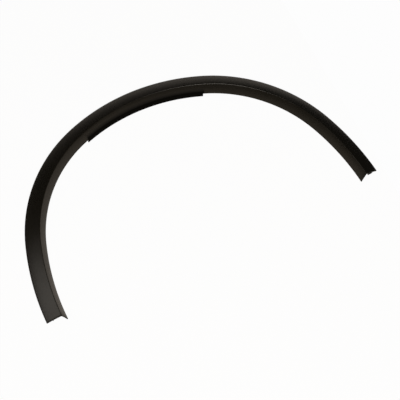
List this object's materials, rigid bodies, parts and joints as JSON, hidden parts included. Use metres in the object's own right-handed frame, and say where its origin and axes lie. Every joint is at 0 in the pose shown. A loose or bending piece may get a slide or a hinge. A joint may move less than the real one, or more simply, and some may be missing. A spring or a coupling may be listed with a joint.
{
  "type": "wheel arch trim",
  "caption": "Curved black plastic trim that edges a car's wheel opening, with a V section, a turned-in flange and hidden seats for push-in clips.",
  "frame": {"origin": "middle of the base of the whole moulding, on the plane that its lowest edge touches", "axes": "+X along the car from one leg to the other, +Y up the car side from the legs to the top of the arch, +Z out of the car, from the hidden side to the show side"},
  "size_m": [0.8478, 0.4495, 0.0326],
  "materials": {
    "black_plastic": "fine-grained satin black, moulded in colour"
  },
  "bodies": {
    "root": {"wheel_arch_trim": "black_plastic"}
  },
  "joints": []
}
